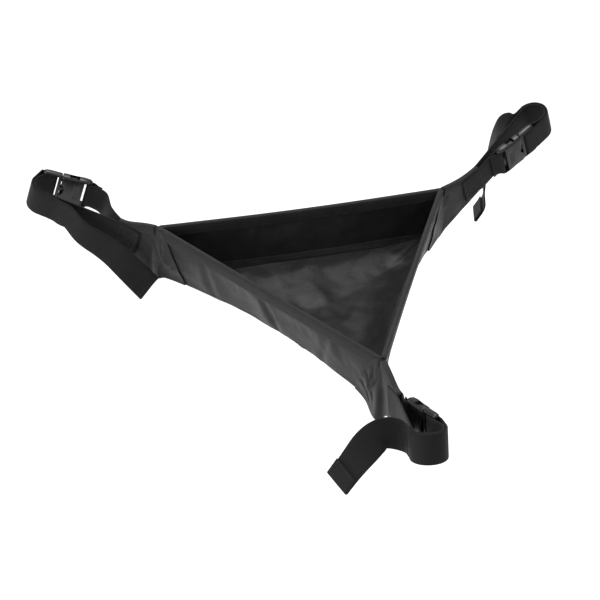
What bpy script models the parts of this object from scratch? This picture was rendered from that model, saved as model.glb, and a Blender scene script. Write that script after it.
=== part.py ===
"""A tripod stone bag: a three-cornered cloth tray that hangs between a tripod's legs.

Each corner runs out into a tapered arm. Two ends of webbing are sewn to the arm's tip, one on
each face. The short one holds the socket half of a side-release buckle. The long one goes round
the leg to the plug half, turns back round its ladder bar, lies on itself round the leg again and
leaves as a loose tail.

World frame: metres, +Z up, origin on the tripod's axis, level with the leg loops. The front
corner points to -Y. Each corner also has its own frame: x from the corner seam out to the leg,
y to the left of that, z up.
"""

import math

import bmesh
import bpy
from mathutils import Matrix, Vector

MM = 0.001

# The bag
CORNER_RADIUS = 154 * MM  # from the axis to each corner seam
RIM_HEIGHT = -14 * MM
WALL_HEIGHT = 50 * MM
CLOTH = 2.4 * MM  # two layers of padded cloth
GAP = 0.4 * MM  # clearance between pieces that are sewn together
CORNER_TRIM = 3.0 * MM  # how far each wall stops short of the corner seam
BINDING_DROP = 10 * MM  # how far the rim's binding reaches down each face
BINDING = 1.0 * MM
SEAM_TAPE_LEG = 9 * MM
PATCH_LENGTH = 32 * MM  # how far the arm's cloth laps over each wall
PATCH = 1.0 * MM

# Arms and webbing
ARM_ROOT = 2.6 * MM  # the arm starts this far out from the seam line
ARM_TIP_HEIGHT = 26 * MM
WEB_WIDTH = 25 * MM
WEB_THICK = 1.5 * MM
SEWN_LENGTH = 22 * MM  # webbing lying on the arm
SEWN_OFFSET = CLOTH / 2 + GAP + WEB_THICK / 2
LOOP_RADIUS = 11.8 * MM  # of the webbing's middle line round the leg
LAYER_STEP = 2.1 * MM  # from the inner layer of webbing to the outer
TAIL_GAP = 2.5 * MM
TAIL_LEAD = 5 * MM
TAIL_STEP_OUT = 2.6 * MM  # how far the tail moves off the loop strap along its lead
TAIL_HEM_LENGTH = 13 * MM
TAIL_HEM_THICK = 4.2 * MM

# Buckle: x along it from the socket's bar, y through its thickness, z across its width
BUCKLE_WIDTH = 31 * MM
SLOT_WIDTH = 25.8 * MM
BAR = 2.6 * MM
BAR_CORNER = BAR * math.sqrt(0.5)  # from the bar's middle to its corners
BAR_TURN = BAR_CORNER + GAP + WEB_THICK / 2  # the radius of the webbing's middle line round a bar
SOCKET_LENGTH = 27 * MM
SOCKET_THICK = 8.4 * MM
SOCKET_SLOT_END = 7.0 * MM
CAVITY_START = 9.5 * MM
CAVITY_WIDTH = 25 * MM
CAVITY_THICK = 5.4 * MM
WINDOW = (12 * MM, 20.5 * MM)
PLUG_START = SOCKET_LENGTH + 0.5 * MM
BUCKLE_LENGTH = 44.5 * MM
PLUG_THICK = 6.6 * MM
LADDER_SLOTS = ((30.2 * MM, 33.7 * MM), (36.3 * MM, 41.2 * MM))
LADDER_BAR_X = 35.0 * MM
TONGUE_TIP = 12.5 * MM
TONGUE_PLAY = 0.6 * MM
TONGUE_HALF_WIDTH = 2.6 * MM
PRONG_TIP = 11.5 * MM
PRONG_ROOT = 27.0 * MM
PRONG_OUTER = 12.1 * MM
PRONG_THICK = 4.6 * MM
PAST = 2 * MM  # how far cutters reach past what they cut

# One entry for each corner, in millimetres and degrees. leg is the leg's polar place round the
# bag's axis. The webbing lies in a plan of its own: x out along the arm as it rises by rise, y to
# the left of that. side is +1 where the buckle is on the left, -1 where it is on the right.
# buckle is from the socket's bar to the plug's end, slack the short strap's way there, and split
# the place where the tail leaves the loop. Tail points and tail_width, the direction across the
# tail's end, are in the corner's own frame. The tail turns to it between the two shares of its
# length that twist gives.
CORNERS = {
    "left": {
        "azimuth": 150,
        "leg": (264, 146.4),
        "rise": 16.6,
        "lift": -1,
        "side": -1,
        "arm_tip": 40,
        "buckle": ((82, -26), (123, -8.8)),
        "slack": ((54, -10), (66, -23.5)),
        "loop": (112, 3),
        "split": 97,
        "tail": ((77, 17, -15), (62, 19, -27), (42, 19, -40), (24, 18, -51), (0, 17, -69)),
        "tail_width": (-0.42, -0.54, 0.73),
        "twist": (0.2, 1),
    },
    "front": {
        "azimuth": 270,
        "leg": (270, 269.7),
        "rise": 18.6,
        "lift": -3,
        "side": 1,
        "arm_tip": 46,
        "buckle": ((61, 3.4), (104.5, 9.6)),
        "slack": (),
        "loop": (118, -2),
        "split": 107,
        "tail": ((90, -23, -9), (90, -31, -8), (91, -38, -12), (93, -47, -21), (94, -56, -33), (94, -64, -46)),
        "tail_width": (-0.93, -0.32, 0.16),
        "twist": (0.2, 1),
    },
    "right": {
        "azimuth": 30,
        "leg": (280.2, 27),
        "rise": 21,
        "lift": 2,
        "side": -1,
        "arm_tip": 50,
        "buckle": ((73.5, -3), (117.8, -5)),
        "slack": (),
        "loop": (130.5, 6.5),
        "split": 124,
        "tail": ((101, 24, 5), (95, 27, 1), (90, 27, -9), (86, 26, -24), (83, 26, -42),
                 (82, 25, -58), (84, 25, -73), (76, 25, -88)),
        "tail_width": (0.66, 0.75, 0),
        "twist": (0.12, 0.35),
    },
}

UP = Vector((0, 0, 1))


# ---- small helpers


def clear_scene():
    for old in list(bpy.data.objects):
        bpy.data.objects.remove(old)


def material(name, colour, roughness):
    made = bpy.data.materials.new(name)
    made.use_nodes = True
    shader = made.node_tree.nodes["Principled BSDF"]
    shader.inputs["Base Color"].default_value = (*colour, 1)
    shader.inputs["Roughness"].default_value = roughness
    shader.inputs["Metallic"].default_value = 0
    return made


def empty(name, matrix, parent=None):
    made = bpy.data.objects.new(name, None)
    made.empty_display_size = 10 * MM
    bpy.context.scene.collection.objects.link(made)
    made.parent = parent
    made.matrix_local = matrix
    return made


def node(name, bm, look, parent=None):
    """One named solid, in its parent's frame."""
    bmesh.ops.recalc_face_normals(bm, faces=bm.faces)
    mesh = bpy.data.meshes.new(name)
    bm.to_mesh(mesh)
    bm.free()
    made = bpy.data.objects.new(name, mesh)
    bpy.context.scene.collection.objects.link(made)
    made.data.materials.append(MATERIALS[look])
    made.parent = parent
    return made


def extruded(outline, along):
    """A prism: outline is a ring of points, moved by the vector along."""
    bm = bmesh.new()
    face = bm.faces.new([bm.verts.new(point) for point in outline])
    moved = bmesh.ops.extrude_face_region(bm, geom=[face])["geom"]
    corners = [item for item in moved if isinstance(item, bmesh.types.BMVert)]
    bmesh.ops.translate(bm, verts=corners, vec=along)
    return bm


def add_box(bm, low, high):
    """Adds a closed box to a mesh, from its low corner to its high corner."""
    size = [b - a for a, b in zip(low, high)]
    middle = [(a + b) / 2 for a, b in zip(low, high)]
    placed = Matrix.Translation(middle) @ Matrix.Diagonal((*size, 1))
    bmesh.ops.create_cube(bm, size=1, matrix=placed)


def cut_away(target, boxes, name):
    """Cuts boxes, which don't touch each other, out of the target."""
    bm = bmesh.new()
    for low, high in boxes:
        add_box(bm, low, high)
    cutter = node(name, bm, "buckle_plastic", target.parent)
    cutter.hide_render = True
    cutter.display_type = "WIRE"
    cutting = target.modifiers.new("openings", "BOOLEAN")
    cutting.operation = "DIFFERENCE"
    cutting.object = cutter
    cutting.solver = "EXACT"


def smooth_through(points, steps):
    """Points on a Catmull-Rom curve through the given ones, with this many steps between each pair."""
    ends = [2 * points[0] - points[1], *points, 2 * points[-1] - points[-2]]
    curve = []
    for a, b, c, d in zip(ends, ends[1:], ends[2:], ends[3:]):
        for step in range(steps):
            t = step / steps
            curve.append(
                0.5 * (2 * b + (c - a) * t + (2 * a - 5 * b + 4 * c - d) * t**2
                       + (3 * b - a - 3 * c + d) * t**3)
            )
    return [*curve, points[-1]]


def half_turn(centre, start, middle, steps):
    """Points on half a circle, from centre + start through centre + middle to centre - start."""
    turns = [math.pi * step / steps for step in range(steps + 1)]
    return [centre + math.cos(t) * start + math.sin(t) * middle for t in turns]


def ribbon(stations, thick_end=0.0):
    """A flat strap swept along stations, each a point and a direction across the strap.
    Its last thick_end metres are a folded hem."""
    bm = bmesh.new()
    points = [point for point, _ in stations]
    to_go = [0.0]
    for a, b in zip(reversed(points), reversed(points[:-1])):
        to_go.append(to_go[-1] + (b - a).length)
    to_go.reverse()
    rings = []
    for i, (point, across) in enumerate(stations):
        forward = (points[min(i + 1, len(points) - 1)] - points[max(i - 1, 0)]).normalized()
        across = (across - across.dot(forward) * forward).normalized()
        outward = across.cross(forward)
        thick = TAIL_HEM_THICK if to_go[i] < thick_end else WEB_THICK
        half_width, half_thick = across * WEB_WIDTH / 2, outward * thick / 2
        corners = (half_width + half_thick, half_thick - half_width,
                   -half_width - half_thick, half_width - half_thick)
        rings.append([bm.verts.new(point + corner) for corner in corners])
    for near, far in zip(rings, rings[1:]):
        for i in range(4):
            bm.faces.new((near[i], near[i - 1], far[i - 1], far[i]))
    bm.faces.new(rings[0])
    bm.faces.new(rings[-1])
    return bm


def with_width(points, first, last, twist):
    """Pairs each point with a direction that turns from first to last between two shares of them."""
    begin, end = twist
    shares = [(i / (len(points) - 1) - begin) / (end - begin) for i in range(len(points))]
    return [(point, first.lerp(last, min(1, max(0, share))).normalized())
            for point, share in zip(points, shares)]


# ---- the bag


def wall_frame(azimuth):
    """x along the wall, y in towards the axis, z up, origin at the foot of the wall's outer face."""
    out = Vector((math.cos(math.radians(azimuth)), math.sin(math.radians(azimuth)), 0))
    along = out.cross(UP)
    foot = out * CORNER_RADIUS / 2 + UP * (RIM_HEIGHT - WALL_HEIGHT)
    turn = Matrix((along, -out, UP)).transposed().to_4x4()
    return Matrix.Translation(foot) @ turn


def mitred(length, depth, thick, low, high):
    """A strip along a wall's inner side with its ends cut at 30 degrees to fit the corner."""
    taper = math.sqrt(3)
    outer, inner = length / 2 - depth * taper, length / 2 - (depth + thick) * taper
    outline = [Vector((-outer, depth, low)), Vector((outer, depth, low)),
               Vector((inner, depth + thick, low)), Vector((-inner, depth + thick, low))]
    return extruded(outline, UP * (high - low))


def build_wall(side, azimuth):
    """A side wall with its rim binding, foot seam tape and the arm cloth lapped over its ends."""
    frame = empty(f"{side}_wall_frame", wall_frame(azimuth))
    seam_to_seam = CORNER_RADIUS * math.sqrt(3)
    length = seam_to_seam - 2 * CORNER_TRIM
    node(f"wall_{side}", mitred(length, 0, CLOTH, GAP, WALL_HEIGHT), "bag_cloth", frame)
    # The binding is a channel folded over the rim.
    out, back = -GAP - BINDING, CLOTH + GAP + BINDING
    low, top = WALL_HEIGHT - BINDING_DROP, WALL_HEIGHT + GAP + BINDING
    profile = [(out, low), (-GAP, low), (-GAP, top - BINDING), (back - BINDING, top - BINDING),
               (back - BINDING, low), (back, low), (back, top), (out, top)]
    end = length / 2 - back * math.sqrt(3)
    outline = [Vector((-end, y, z)) for y, z in profile]
    node(f"rim_binding_{side}", extruded(outline, Vector((2 * end, 0, 0))), "binding_tape", frame)
    # The tape is an angle that covers the seam between wall and base from inside.
    near, far = CLOTH + GAP, CLOTH + GAP + SEAM_TAPE_LEG
    profile = [(near, GAP), (far, GAP), (far, GAP + BINDING), (near + BINDING, GAP + BINDING),
               (near + BINDING, SEAM_TAPE_LEG), (near, SEAM_TAPE_LEG)]
    end = length / 2 - far * math.sqrt(3)
    outline = [Vector((-end, y, z)) for y, z in profile]
    node(f"seam_tape_{side}", extruded(outline, Vector((2 * end, 0, 0))), "binding_tape", frame)


def build_patch(name, azimuth, end):
    """The curved lap of an arm's cloth over a wall's outer face. end is -1 or +1 along the wall."""
    frame = empty(f"{name}_frame", wall_frame(azimuth))
    start = CORNER_RADIUS * math.sqrt(3) / 2 - CORNER_TRIM
    low, high = 2 * MM, WALL_HEIGHT - BINDING_DROP - GAP
    curve_steps = 8
    outline = [Vector((end * start, -GAP, low)), Vector((end * start, -GAP, high))]
    for step in range(curve_steps + 1):
        t = step / curve_steps
        reach = PATCH_LENGTH * (0.62 + 0.38 * math.sin(math.pi * (0.15 + 0.7 * t)))
        outline.append(Vector((end * (start - reach), -GAP, high + (low - high) * t)))
    node(name, extruded(outline, Vector((0, -PATCH, 0))), "bag_cloth", frame)


def build_base():
    """The three-cornered floor, under the walls."""
    top = RIM_HEIGHT - WALL_HEIGHT
    outline = []
    rounding = 6 * MM
    steps = 4
    for azimuth in (30, 150, 270):
        centre = Matrix.Rotation(math.radians(azimuth), 3, "Z") @ Vector(
            (CORNER_RADIUS - 2 * rounding - GAP, 0, top)
        )
        for step in range(steps + 1):
            turn = math.radians(azimuth - 60 + 120 * step / steps)
            outline.append(centre + rounding * Vector((math.cos(turn), math.sin(turn), 0)))
    node("base_panel", extruded(outline, -UP * CLOTH), "bag_cloth")


# ---- one corner: arm, webbing and buckle


def corner_matrix(corner):
    """The corner's frame: x from the foot of its seam line towards the leg's axis."""
    azimuth = math.radians(corner["azimuth"])
    seam = CORNER_RADIUS * Vector((math.cos(azimuth), math.sin(azimuth), 0))
    radius, degrees = corner["leg"]
    turn = math.radians(degrees)
    leg = radius * MM * Vector((math.cos(turn), math.sin(turn), 0))
    heading = math.atan2(leg.y - seam.y, leg.x - seam.x)
    return Matrix.Translation(seam) @ Matrix.Rotation(heading, 4, "Z")


def webbing_matrix(corner):
    """The webbing's plan in the corner's frame. It rises from the middle of the corner seam."""
    middle = Matrix.Translation((0, 0, RIM_HEIGHT - WALL_HEIGHT / 2 + corner["lift"] * MM))
    return middle @ Matrix.Rotation(-math.radians(corner["rise"]), 4, "Y")


def in_plan(x, y):
    return Vector((x, y, 0)) * MM


def build_arm(name, corner, frame, plan):
    """The tapered tab of doubled cloth. Its top leaves the wall level, then rises with the webbing."""
    tip = corner["arm_tip"] * MM
    rim = Vector((ARM_ROOT, 0, RIM_HEIGHT))
    foot = Vector((ARM_ROOT, 0, RIM_HEIGHT - WALL_HEIGHT))
    tip_top = plan @ Vector((tip, 0, ARM_TIP_HEIGHT / 2))
    tip_foot = plan @ Vector((tip, 0, -ARM_TIP_HEIGHT / 2))
    level = Vector((0.45 * tip, 0, 0))
    steps = 6
    top = []
    for step in range(steps + 1):
        t = step / steps
        rising = plan.to_3x3() @ -level
        top.append(bezier(rim, rim + level, tip_top + rising * 0.6, tip_top, t))
    back = Vector((0, -CLOTH / 2, 0))
    outline = [point + back for point in [foot, *top, tip_foot]]
    node(f"arm_{name}", extruded(outline, -2 * back), "bag_cloth", frame)


def bezier(a, b, c, d, t):
    return (1 - t) ** 3 * a + 3 * (1 - t) ** 2 * t * b + 3 * (1 - t) * t * t * c + t**3 * d


def buckle_matrix(corner):
    """The buckle's frame in the webbing's plan."""
    start, end = (in_plan(*point) for point in corner["buckle"])
    heading = math.atan2(end.y - start.y, end.x - start.x)
    return Matrix.Translation(start) @ Matrix.Rotation(heading, 4, "Z")


def build_socket(name, frame):
    """The socket half: a bar for the webbing, and a sleeve with a window in each edge."""
    half, slot = BUCKLE_WIDTH / 2, SLOT_WIDTH / 2
    thick, cavity = SOCKET_THICK / 2, CAVITY_THICK / 2
    outline = [(0, -half + 3 * MM), (2.5 * MM, -half), (SOCKET_LENGTH, -half + 1 * MM),
               (SOCKET_LENGTH, half - 1 * MM), (2.5 * MM, half), (0, half - 3 * MM)]
    solid = extruded([Vector((x, -thick, z)) for x, z in outline], Vector((0, 2 * thick, 0)))
    socket = node(f"buckle_socket_{name}", solid, "buckle_plastic", frame)
    slot_box = [((BAR, -thick - PAST, -slot), (SOCKET_SLOT_END, thick + PAST, slot))]
    cut_away(socket, slot_box, f"socket_slot_cutter_{name}")
    beside_bar = [((-PAST, BAR / 2, -slot), (BAR + PAST, thick + PAST, slot)),
                  ((-PAST, -thick - PAST, -slot), (BAR + PAST, -BAR / 2, slot))]
    cut_away(socket, beside_bar, f"socket_bar_cutter_{name}")
    inside = [((CAVITY_START, -cavity, -CAVITY_WIDTH / 2),
               (SOCKET_LENGTH + PAST, cavity, CAVITY_WIDTH / 2))]
    cut_away(socket, inside, f"socket_cavity_cutter_{name}")
    windows = [((WINDOW[0], -cavity, -half - PAST), (WINDOW[1], cavity, half + PAST))]
    cut_away(socket, windows, f"socket_window_cutter_{name}")


def build_plug(name, frame):
    """The plug half: a ladder bar that grips the webbing, and a tongue that guides it home."""
    half, slot, thick = BUCKLE_WIDTH / 2, SLOT_WIDTH / 2, PLUG_THICK / 2
    tongue = CAVITY_THICK / 2 - TONGUE_PLAY
    outline = [(PLUG_START, -half + 1 * MM), (BUCKLE_LENGTH - 2 * MM, -half),
               (BUCKLE_LENGTH, -half + 2.5 * MM), (BUCKLE_LENGTH, half - 2.5 * MM),
               (BUCKLE_LENGTH - 2 * MM, half), (PLUG_START, half - 1 * MM),
               (PLUG_START, TONGUE_HALF_WIDTH), (TONGUE_TIP, TONGUE_HALF_WIDTH * 0.7),
               (TONGUE_TIP, -TONGUE_HALF_WIDTH * 0.7), (PLUG_START, -TONGUE_HALF_WIDTH)]
    solid = extruded([Vector((x, -thick, z)) for x, z in outline], Vector((0, 2 * thick, 0)))
    plug = node(f"buckle_plug_{name}", solid, "buckle_plastic", frame)
    slots = [((a, -thick - PAST, -slot), (b, thick + PAST, slot)) for a, b in LADDER_SLOTS]
    cut_away(plug, slots, f"ladder_slot_cutter_{name}")
    inside_slot = LADDER_SLOTS[0][1] - 1 * MM
    thinned = [((inside_slot, BAR / 2, -slot), (BUCKLE_LENGTH + PAST, thick + PAST, slot)),
               ((inside_slot, -thick - PAST, -slot), (BUCKLE_LENGTH + PAST, -BAR / 2, slot))]
    cut_away(plug, thinned, f"ladder_bar_cutter_{name}")
    shaved = [((TONGUE_TIP - PAST, tongue, -half), (PLUG_START, thick + PAST, half)),
              ((TONGUE_TIP - PAST, -thick - PAST, -half), (PLUG_START, -tongue, half))]
    cut_away(plug, shaved, f"tongue_cutter_{name}")


def build_prong(name, edge, plug_frame):
    """A springy prong. Its origin is its hinge line, where it bends at the plug's shoulder."""
    root = Vector((PRONG_ROOT, 0, edge * (PRONG_OUTER - 2 * MM)))
    pivot = empty(f"prong_pivot_{name}", Matrix.Translation(root), plug_frame)
    reach = PRONG_TIP - PRONG_ROOT
    out = 2 * MM
    outline = [(0, -out * 0.9), (reach * 0.45, -out * 0.9), (reach * 0.6, -3.4 * MM),
               (reach * 0.95, -3.0 * MM), (reach, -1.2 * MM), (reach, out * 0.2),
               (reach * 0.9, out), (reach * 0.5, out), (reach * 0.42, 0.9 * MM), (0, out * 0.9)]
    half = PRONG_THICK / 2
    ring = [Vector((x, -half, edge * z)) for x, z in outline]
    node(f"prong_{name}", extruded(ring, Vector((0, 2 * half, 0))), "buckle_plastic", pivot)


def arm_faces(corner, towards):
    """Where the webbing starts and where the arm ends. towards is +1 on the buckle's side."""
    y = towards * corner["side"] * SEWN_OFFSET
    tip = corner["arm_tip"] * MM
    return Vector((tip - SEWN_LENGTH, y, 0)), Vector((tip, y, 0))


def straight_across(points, plan):
    """Stations, in the corner's frame, of a strap that stands square to its plan."""
    across = plan.to_3x3() @ UP
    return [(plan @ point, across) for point in points]


def build_short_strap(name, corner, frame, plan, buckle):
    """From the arm's tip, round the socket's bar and back on itself."""
    side = corner["side"]
    start, tip = arm_faces(corner, 1)
    slack = [in_plan(*point) for point in corner["slack"]]
    inner = -side * BAR_TURN
    before_bar = buckle @ Vector((-4 * MM, inner, 0))
    over_bar = buckle @ Vector((BAR / 2, inner, 0))
    free = smooth_through([tip, *slack, before_bar, over_bar], 4)
    turn = buckle.to_3x3()
    bar = buckle @ Vector((BAR / 2, 0, 0))
    turned = half_turn(bar, turn @ Vector((0, inner, 0)), turn @ Vector((BAR_TURN, 0, 0)), 6)
    back = [buckle @ Vector((-x, -inner * share, 0)) for x, share in ((4 * MM, 0.85), (9 * MM, 0.65))]
    path = [start, *free[:-1], *turned, *back]
    node(f"short_strap_{name}", ribbon(straight_across(path, plan)), "webbing", frame)


def leg_tangent(centre, radius, point, sense):
    """The angle at which a strap from this point meets the leg's circle. sense is +1 where the
    strap then goes round anticlockwise."""
    to_point = point - centre
    spread = math.acos(radius / to_point.length)
    return math.atan2(to_point.y, to_point.x) + sense * spread


def round_leg(centre, radius, first, last, sense, steps):
    """Points round the leg from the first angle to the last, by way of its far side."""
    sweep = (sense * (last - first)) % (2 * math.pi) * sense
    turns = [first + sweep * step / steps for step in range(steps + 1)]
    return [centre + radius * Vector((math.cos(t), math.sin(t), 0)) for t in turns]


def build_long_strap(name, corner, frame, plan, plug_frame, buckle):
    """The loop strap on the arm, and the wrap that goes round the leg and the ladder bar."""
    side = corner["side"]
    start, tip = arm_faces(corner, -1)
    centre = in_plan(*corner["loop"])
    meets = leg_tangent(centre, LOOP_RADIUS, tip, side)
    beside = centre + LOOP_RADIUS * Vector((math.cos(meets), math.sin(meets), 0))
    split = tip.lerp(beside, (corner["split"] * MM - tip.x) / (beside.x - tip.x))
    strand = straight_across([start, tip, split], plan)
    node(f"loop_strap_{name}", ribbon(strand), "webbing", frame)

    along = (beside - tip).normalized()
    outward = Vector((along.y, -along.x, 0)) * side
    past_end = 1.5 * MM
    layers = []
    for radius, face in ((LOOP_RADIUS, -1), (LOOP_RADIUS + LAYER_STEP, 1)):
        y = face * side * BAR_TURN
        step_out = outward * (radius - LOOP_RADIUS)
        entry = buckle @ Vector((BUCKLE_LENGTH + past_end * (face > 0), y, 0))
        leaves = leg_tangent(centre, radius, entry, -side)
        bend = round_leg(centre, radius, meets, leaves, side, 12)
        on_bar = buckle @ Vector((LADDER_BAR_X, y, 0))
        layers.append([split + along * GAP + step_out, *bend, entry, on_bar])
    turn = buckle.to_3x3()
    bar = buckle @ Vector((LADDER_BAR_X, 0, 0))
    turned = half_turn(bar, turn @ Vector((0, -side * BAR_TURN, 0)), turn @ Vector((-BAR_TURN, 0, 0)), 6)
    path = [*layers[0][:-1], *turned, *reversed(layers[1][:-1])]
    to_plug = (plan @ buckle).inverted()
    stations = [(to_plug @ point, UP) for point, _ in straight_across(path, plan)]
    node(f"leg_wrap_{name}", ribbon(stations), "webbing", plug_frame)
    tail_start = split - along * TAIL_GAP + outward * (LAYER_STEP + GAP)
    lead = tail_start - along * TAIL_LEAD + outward * TAIL_STEP_OUT
    return plan @ tail_start, plan @ lead, plan.to_3x3() @ UP


def build_tail(name, corner, plug_frame, to_plug, start, lead, across):
    """The loose end. Its pivot stands where it leaves the wrap, across the strap. At first it
    runs on beside the loop strap."""
    pivot = empty(f"tail_pivot_{name}", to_plug @ Matrix.Translation(start), plug_frame)
    chosen = [start, lead, *[Vector(point) * MM for point in corner["tail"]]]
    points = [point - start for point in smooth_through(chosen, 3)]
    last = Vector(corner["tail_width"]).normalized()
    stations = with_width(points, across, last, corner["twist"])
    node(f"strap_tail_{name}", ribbon(stations, TAIL_HEM_LENGTH), "webbing", pivot)


def build_corner(name, corner):
    frame = empty(f"arm_pivot_{name}", corner_matrix(corner))
    plan = webbing_matrix(corner)
    build_arm(name, corner, frame, plan)
    buckle = buckle_matrix(corner)
    socket_frame = empty(f"socket_frame_{name}", plan @ buckle, frame)
    plug_frame = empty(f"plug_frame_{name}", plan @ buckle, frame)
    build_socket(name, socket_frame)
    build_plug(name, plug_frame)
    build_prong(f"{name}_upper", 1, plug_frame)
    build_prong(f"{name}_lower", -1, plug_frame)
    build_short_strap(name, corner, frame, plan, buckle)
    start, lead, across = build_long_strap(name, corner, frame, plan, plug_frame, buckle)
    build_tail(name, corner, plug_frame, (plan @ buckle).inverted(), start, lead, across)


clear_scene()
MATERIALS = {
    "bag_cloth": material("bag_cloth", (0.022, 0.022, 0.024), 0.72),
    "binding_tape": material("binding_tape", (0.028, 0.028, 0.030), 0.62),
    "webbing": material("webbing", (0.018, 0.018, 0.020), 0.66),
    "buckle_plastic": material("buckle_plastic", (0.016, 0.016, 0.017), 0.38),
}
build_base()
for wall, wall_azimuth in (("back", 90), ("front_left", 210), ("front_right", 330)):
    build_wall(wall, wall_azimuth)
for corner_name, before_azimuth, after_azimuth in (
    ("left", 90, 210),
    ("front", 210, 330),
    ("right", 330, 90),
):
    build_patch(f"arm_lap_{corner_name}_a", before_azimuth, -1)
    build_patch(f"arm_lap_{corner_name}_b", after_azimuth, 1)
for corner_name, corner_facts in CORNERS.items():
    build_corner(corner_name, corner_facts)
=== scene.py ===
"""The looks of a tripod stone bag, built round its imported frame.

A three-cornered cloth tray hangs between a tripod's legs. Each corner runs out into an arm of
doubled cloth with two ends of webbing sewn to its tip: a short one that holds the socket of a
side-release buckle, and a long one that goes round the leg, through the plug's ladder bar, round
the leg again and out as a loose tail.

Metres, +Z up, origin on the tripod's axis. Each corner has its own frame: x from the corner seam
out to the leg, y to the left of that, z up. The webbing of a corner lies in a plan, which is that
frame tilted to rise with the arm.
"""

import math

import bmesh
import bpy
import numpy as np
from mathutils import Matrix, Vector, noise


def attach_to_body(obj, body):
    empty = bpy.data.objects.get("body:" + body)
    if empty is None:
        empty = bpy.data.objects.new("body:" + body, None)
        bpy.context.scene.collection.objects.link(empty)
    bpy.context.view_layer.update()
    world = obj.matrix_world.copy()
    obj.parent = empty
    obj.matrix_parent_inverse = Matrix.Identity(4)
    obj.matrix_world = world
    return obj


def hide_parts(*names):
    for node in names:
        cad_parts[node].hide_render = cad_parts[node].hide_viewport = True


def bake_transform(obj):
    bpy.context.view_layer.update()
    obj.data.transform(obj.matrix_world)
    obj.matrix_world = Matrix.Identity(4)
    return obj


MM = 0.001
UP = Vector((0, 0, 1))

# The bag, as in the CAD model
CORNER_RADIUS = 154 * MM
RIM_HEIGHT = -14 * MM
WALL_HEIGHT = 50 * MM
CLOTH = 2.4 * MM
BINDING_DROP = 10 * MM
BINDING = 1.0 * MM

# Arms and webbing, as in the CAD model
ARM_TIP_HEIGHT = 26 * MM
WEB_WIDTH = 25 * MM
WEB_THICK = 1.5 * MM
SEWN_LENGTH = 22 * MM
SEWN_OFFSET = CLOTH / 2 + 0.4 * MM + WEB_THICK / 2
LOOP_RADIUS = 11.8 * MM
LAYER_STEP = 2.1 * MM
TAIL_GAP = 2.5 * MM
TAIL_LEAD = 5 * MM
TAIL_STEP_OUT = 2.6 * MM
TAIL_HEM_LENGTH = 13 * MM

# The buckle, as in the CAD model: x along it from the socket's bar, y through it, z across it
BUCKLE_WIDTH = 31 * MM
SLOT_WIDTH = 25.8 * MM
BAR = 2.6 * MM
BAR_TURN = BAR * math.sqrt(0.5) + 0.4 * MM + WEB_THICK / 2
SOCKET_LENGTH = 27 * MM
SOCKET_SLOT_END = 7.0 * MM
CAVITY_START = 9.5 * MM
CAVITY_WIDTH = 25 * MM
CAVITY_THICK = 5.4 * MM
WINDOW = (12 * MM, 20.5 * MM)
PLUG_START = SOCKET_LENGTH + 0.5 * MM
BUCKLE_LENGTH = 44.5 * MM
LADDER_START = 30.2 * MM
LADDER_BAR_X = 35.0 * MM
END_BAR_X = 42.8 * MM
PRONG_ROOT = (27 * MM, 10.1 * MM)

# One entry for each corner, in millimetres and degrees, as in the CAD model
CORNERS = {
    "left": {
        "azimuth": 150,
        "leg": (264, 146.4),
        "rise": 16.6,
        "lift": -1,
        "side": -1,
        "arm_tip": 40,
        "buckle": ((82, -26), (123, -8.8)),
        "slack": ((54, -10), (66, -23.5)),
        "loop": (112, 3),
        "split": 97,
        "tail": ((77, 17, -15), (62, 20, -26), (42, 18, -36.5), (24, 19.5, -46), (0, 17, -68.5)),
        "tail_width": (-0.42, -0.54, 0.73),
        "twist": (0.2, 1),
    },
    "front": {
        "azimuth": 270,
        "leg": (270, 269.7),
        "rise": 18.6,
        "lift": -3,
        "side": 1,
        "arm_tip": 46,
        "buckle": ((61, 3.4), (104.5, 9.6)),
        "slack": (),
        "loop": (118, -2),
        "split": 107,
        "tail": ((90, -23, -9), (90, -31, -8), (91, -38, -12),
                 (93, -47, -21), (94, -56, -33), (94, -64, -46)),
        "tail_width": (-0.93, -0.32, 0.16),
        "twist": (0.2, 1),
    },
    "right": {
        "azimuth": 30,
        "leg": (280.2, 27),
        "rise": 21,
        "lift": 2,
        "side": -1,
        "arm_tip": 50,
        "buckle": ((73.5, -3), (117.8, -5)),
        "slack": (),
        "loop": (130.5, 6.5),
        "split": 124,
        "tail": ((101, 24, 5), (95, 27, 1), (90, 27, -9), (86, 26, -24), (83, 26, -42),
                 (82, 25, -58), (84, 24.5, -73), (79.5, 29, -88)),
        "tail_width": (0.66, 0.75, 0),
        "twist": (0.03, 0.24),
    },
}
NAMES = list(CORNERS)
# Each wall runs from the corner of the same place in NAMES to the next one.
WALLS = ("front_left", "front_right", "back")

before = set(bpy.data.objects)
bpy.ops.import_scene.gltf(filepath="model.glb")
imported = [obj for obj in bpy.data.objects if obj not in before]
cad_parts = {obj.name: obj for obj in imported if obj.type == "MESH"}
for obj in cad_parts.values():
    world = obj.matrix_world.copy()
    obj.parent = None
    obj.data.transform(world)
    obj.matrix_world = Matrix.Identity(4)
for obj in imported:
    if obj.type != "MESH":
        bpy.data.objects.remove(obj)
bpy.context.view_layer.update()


def clamp(value):
    """The value, kept within 0 to 1."""
    return min(1, max(0, value))


def ease(share):
    """A smooth step from 0 to 1."""
    return share * share * (3 - 2 * share)


# ---- materials: colours are linear, pitches in millimetres, bump depths in metres


def grey(level, blue=0.0):
    """A grey whose blue is this much stronger."""
    return (level, level, level + blue)


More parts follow.
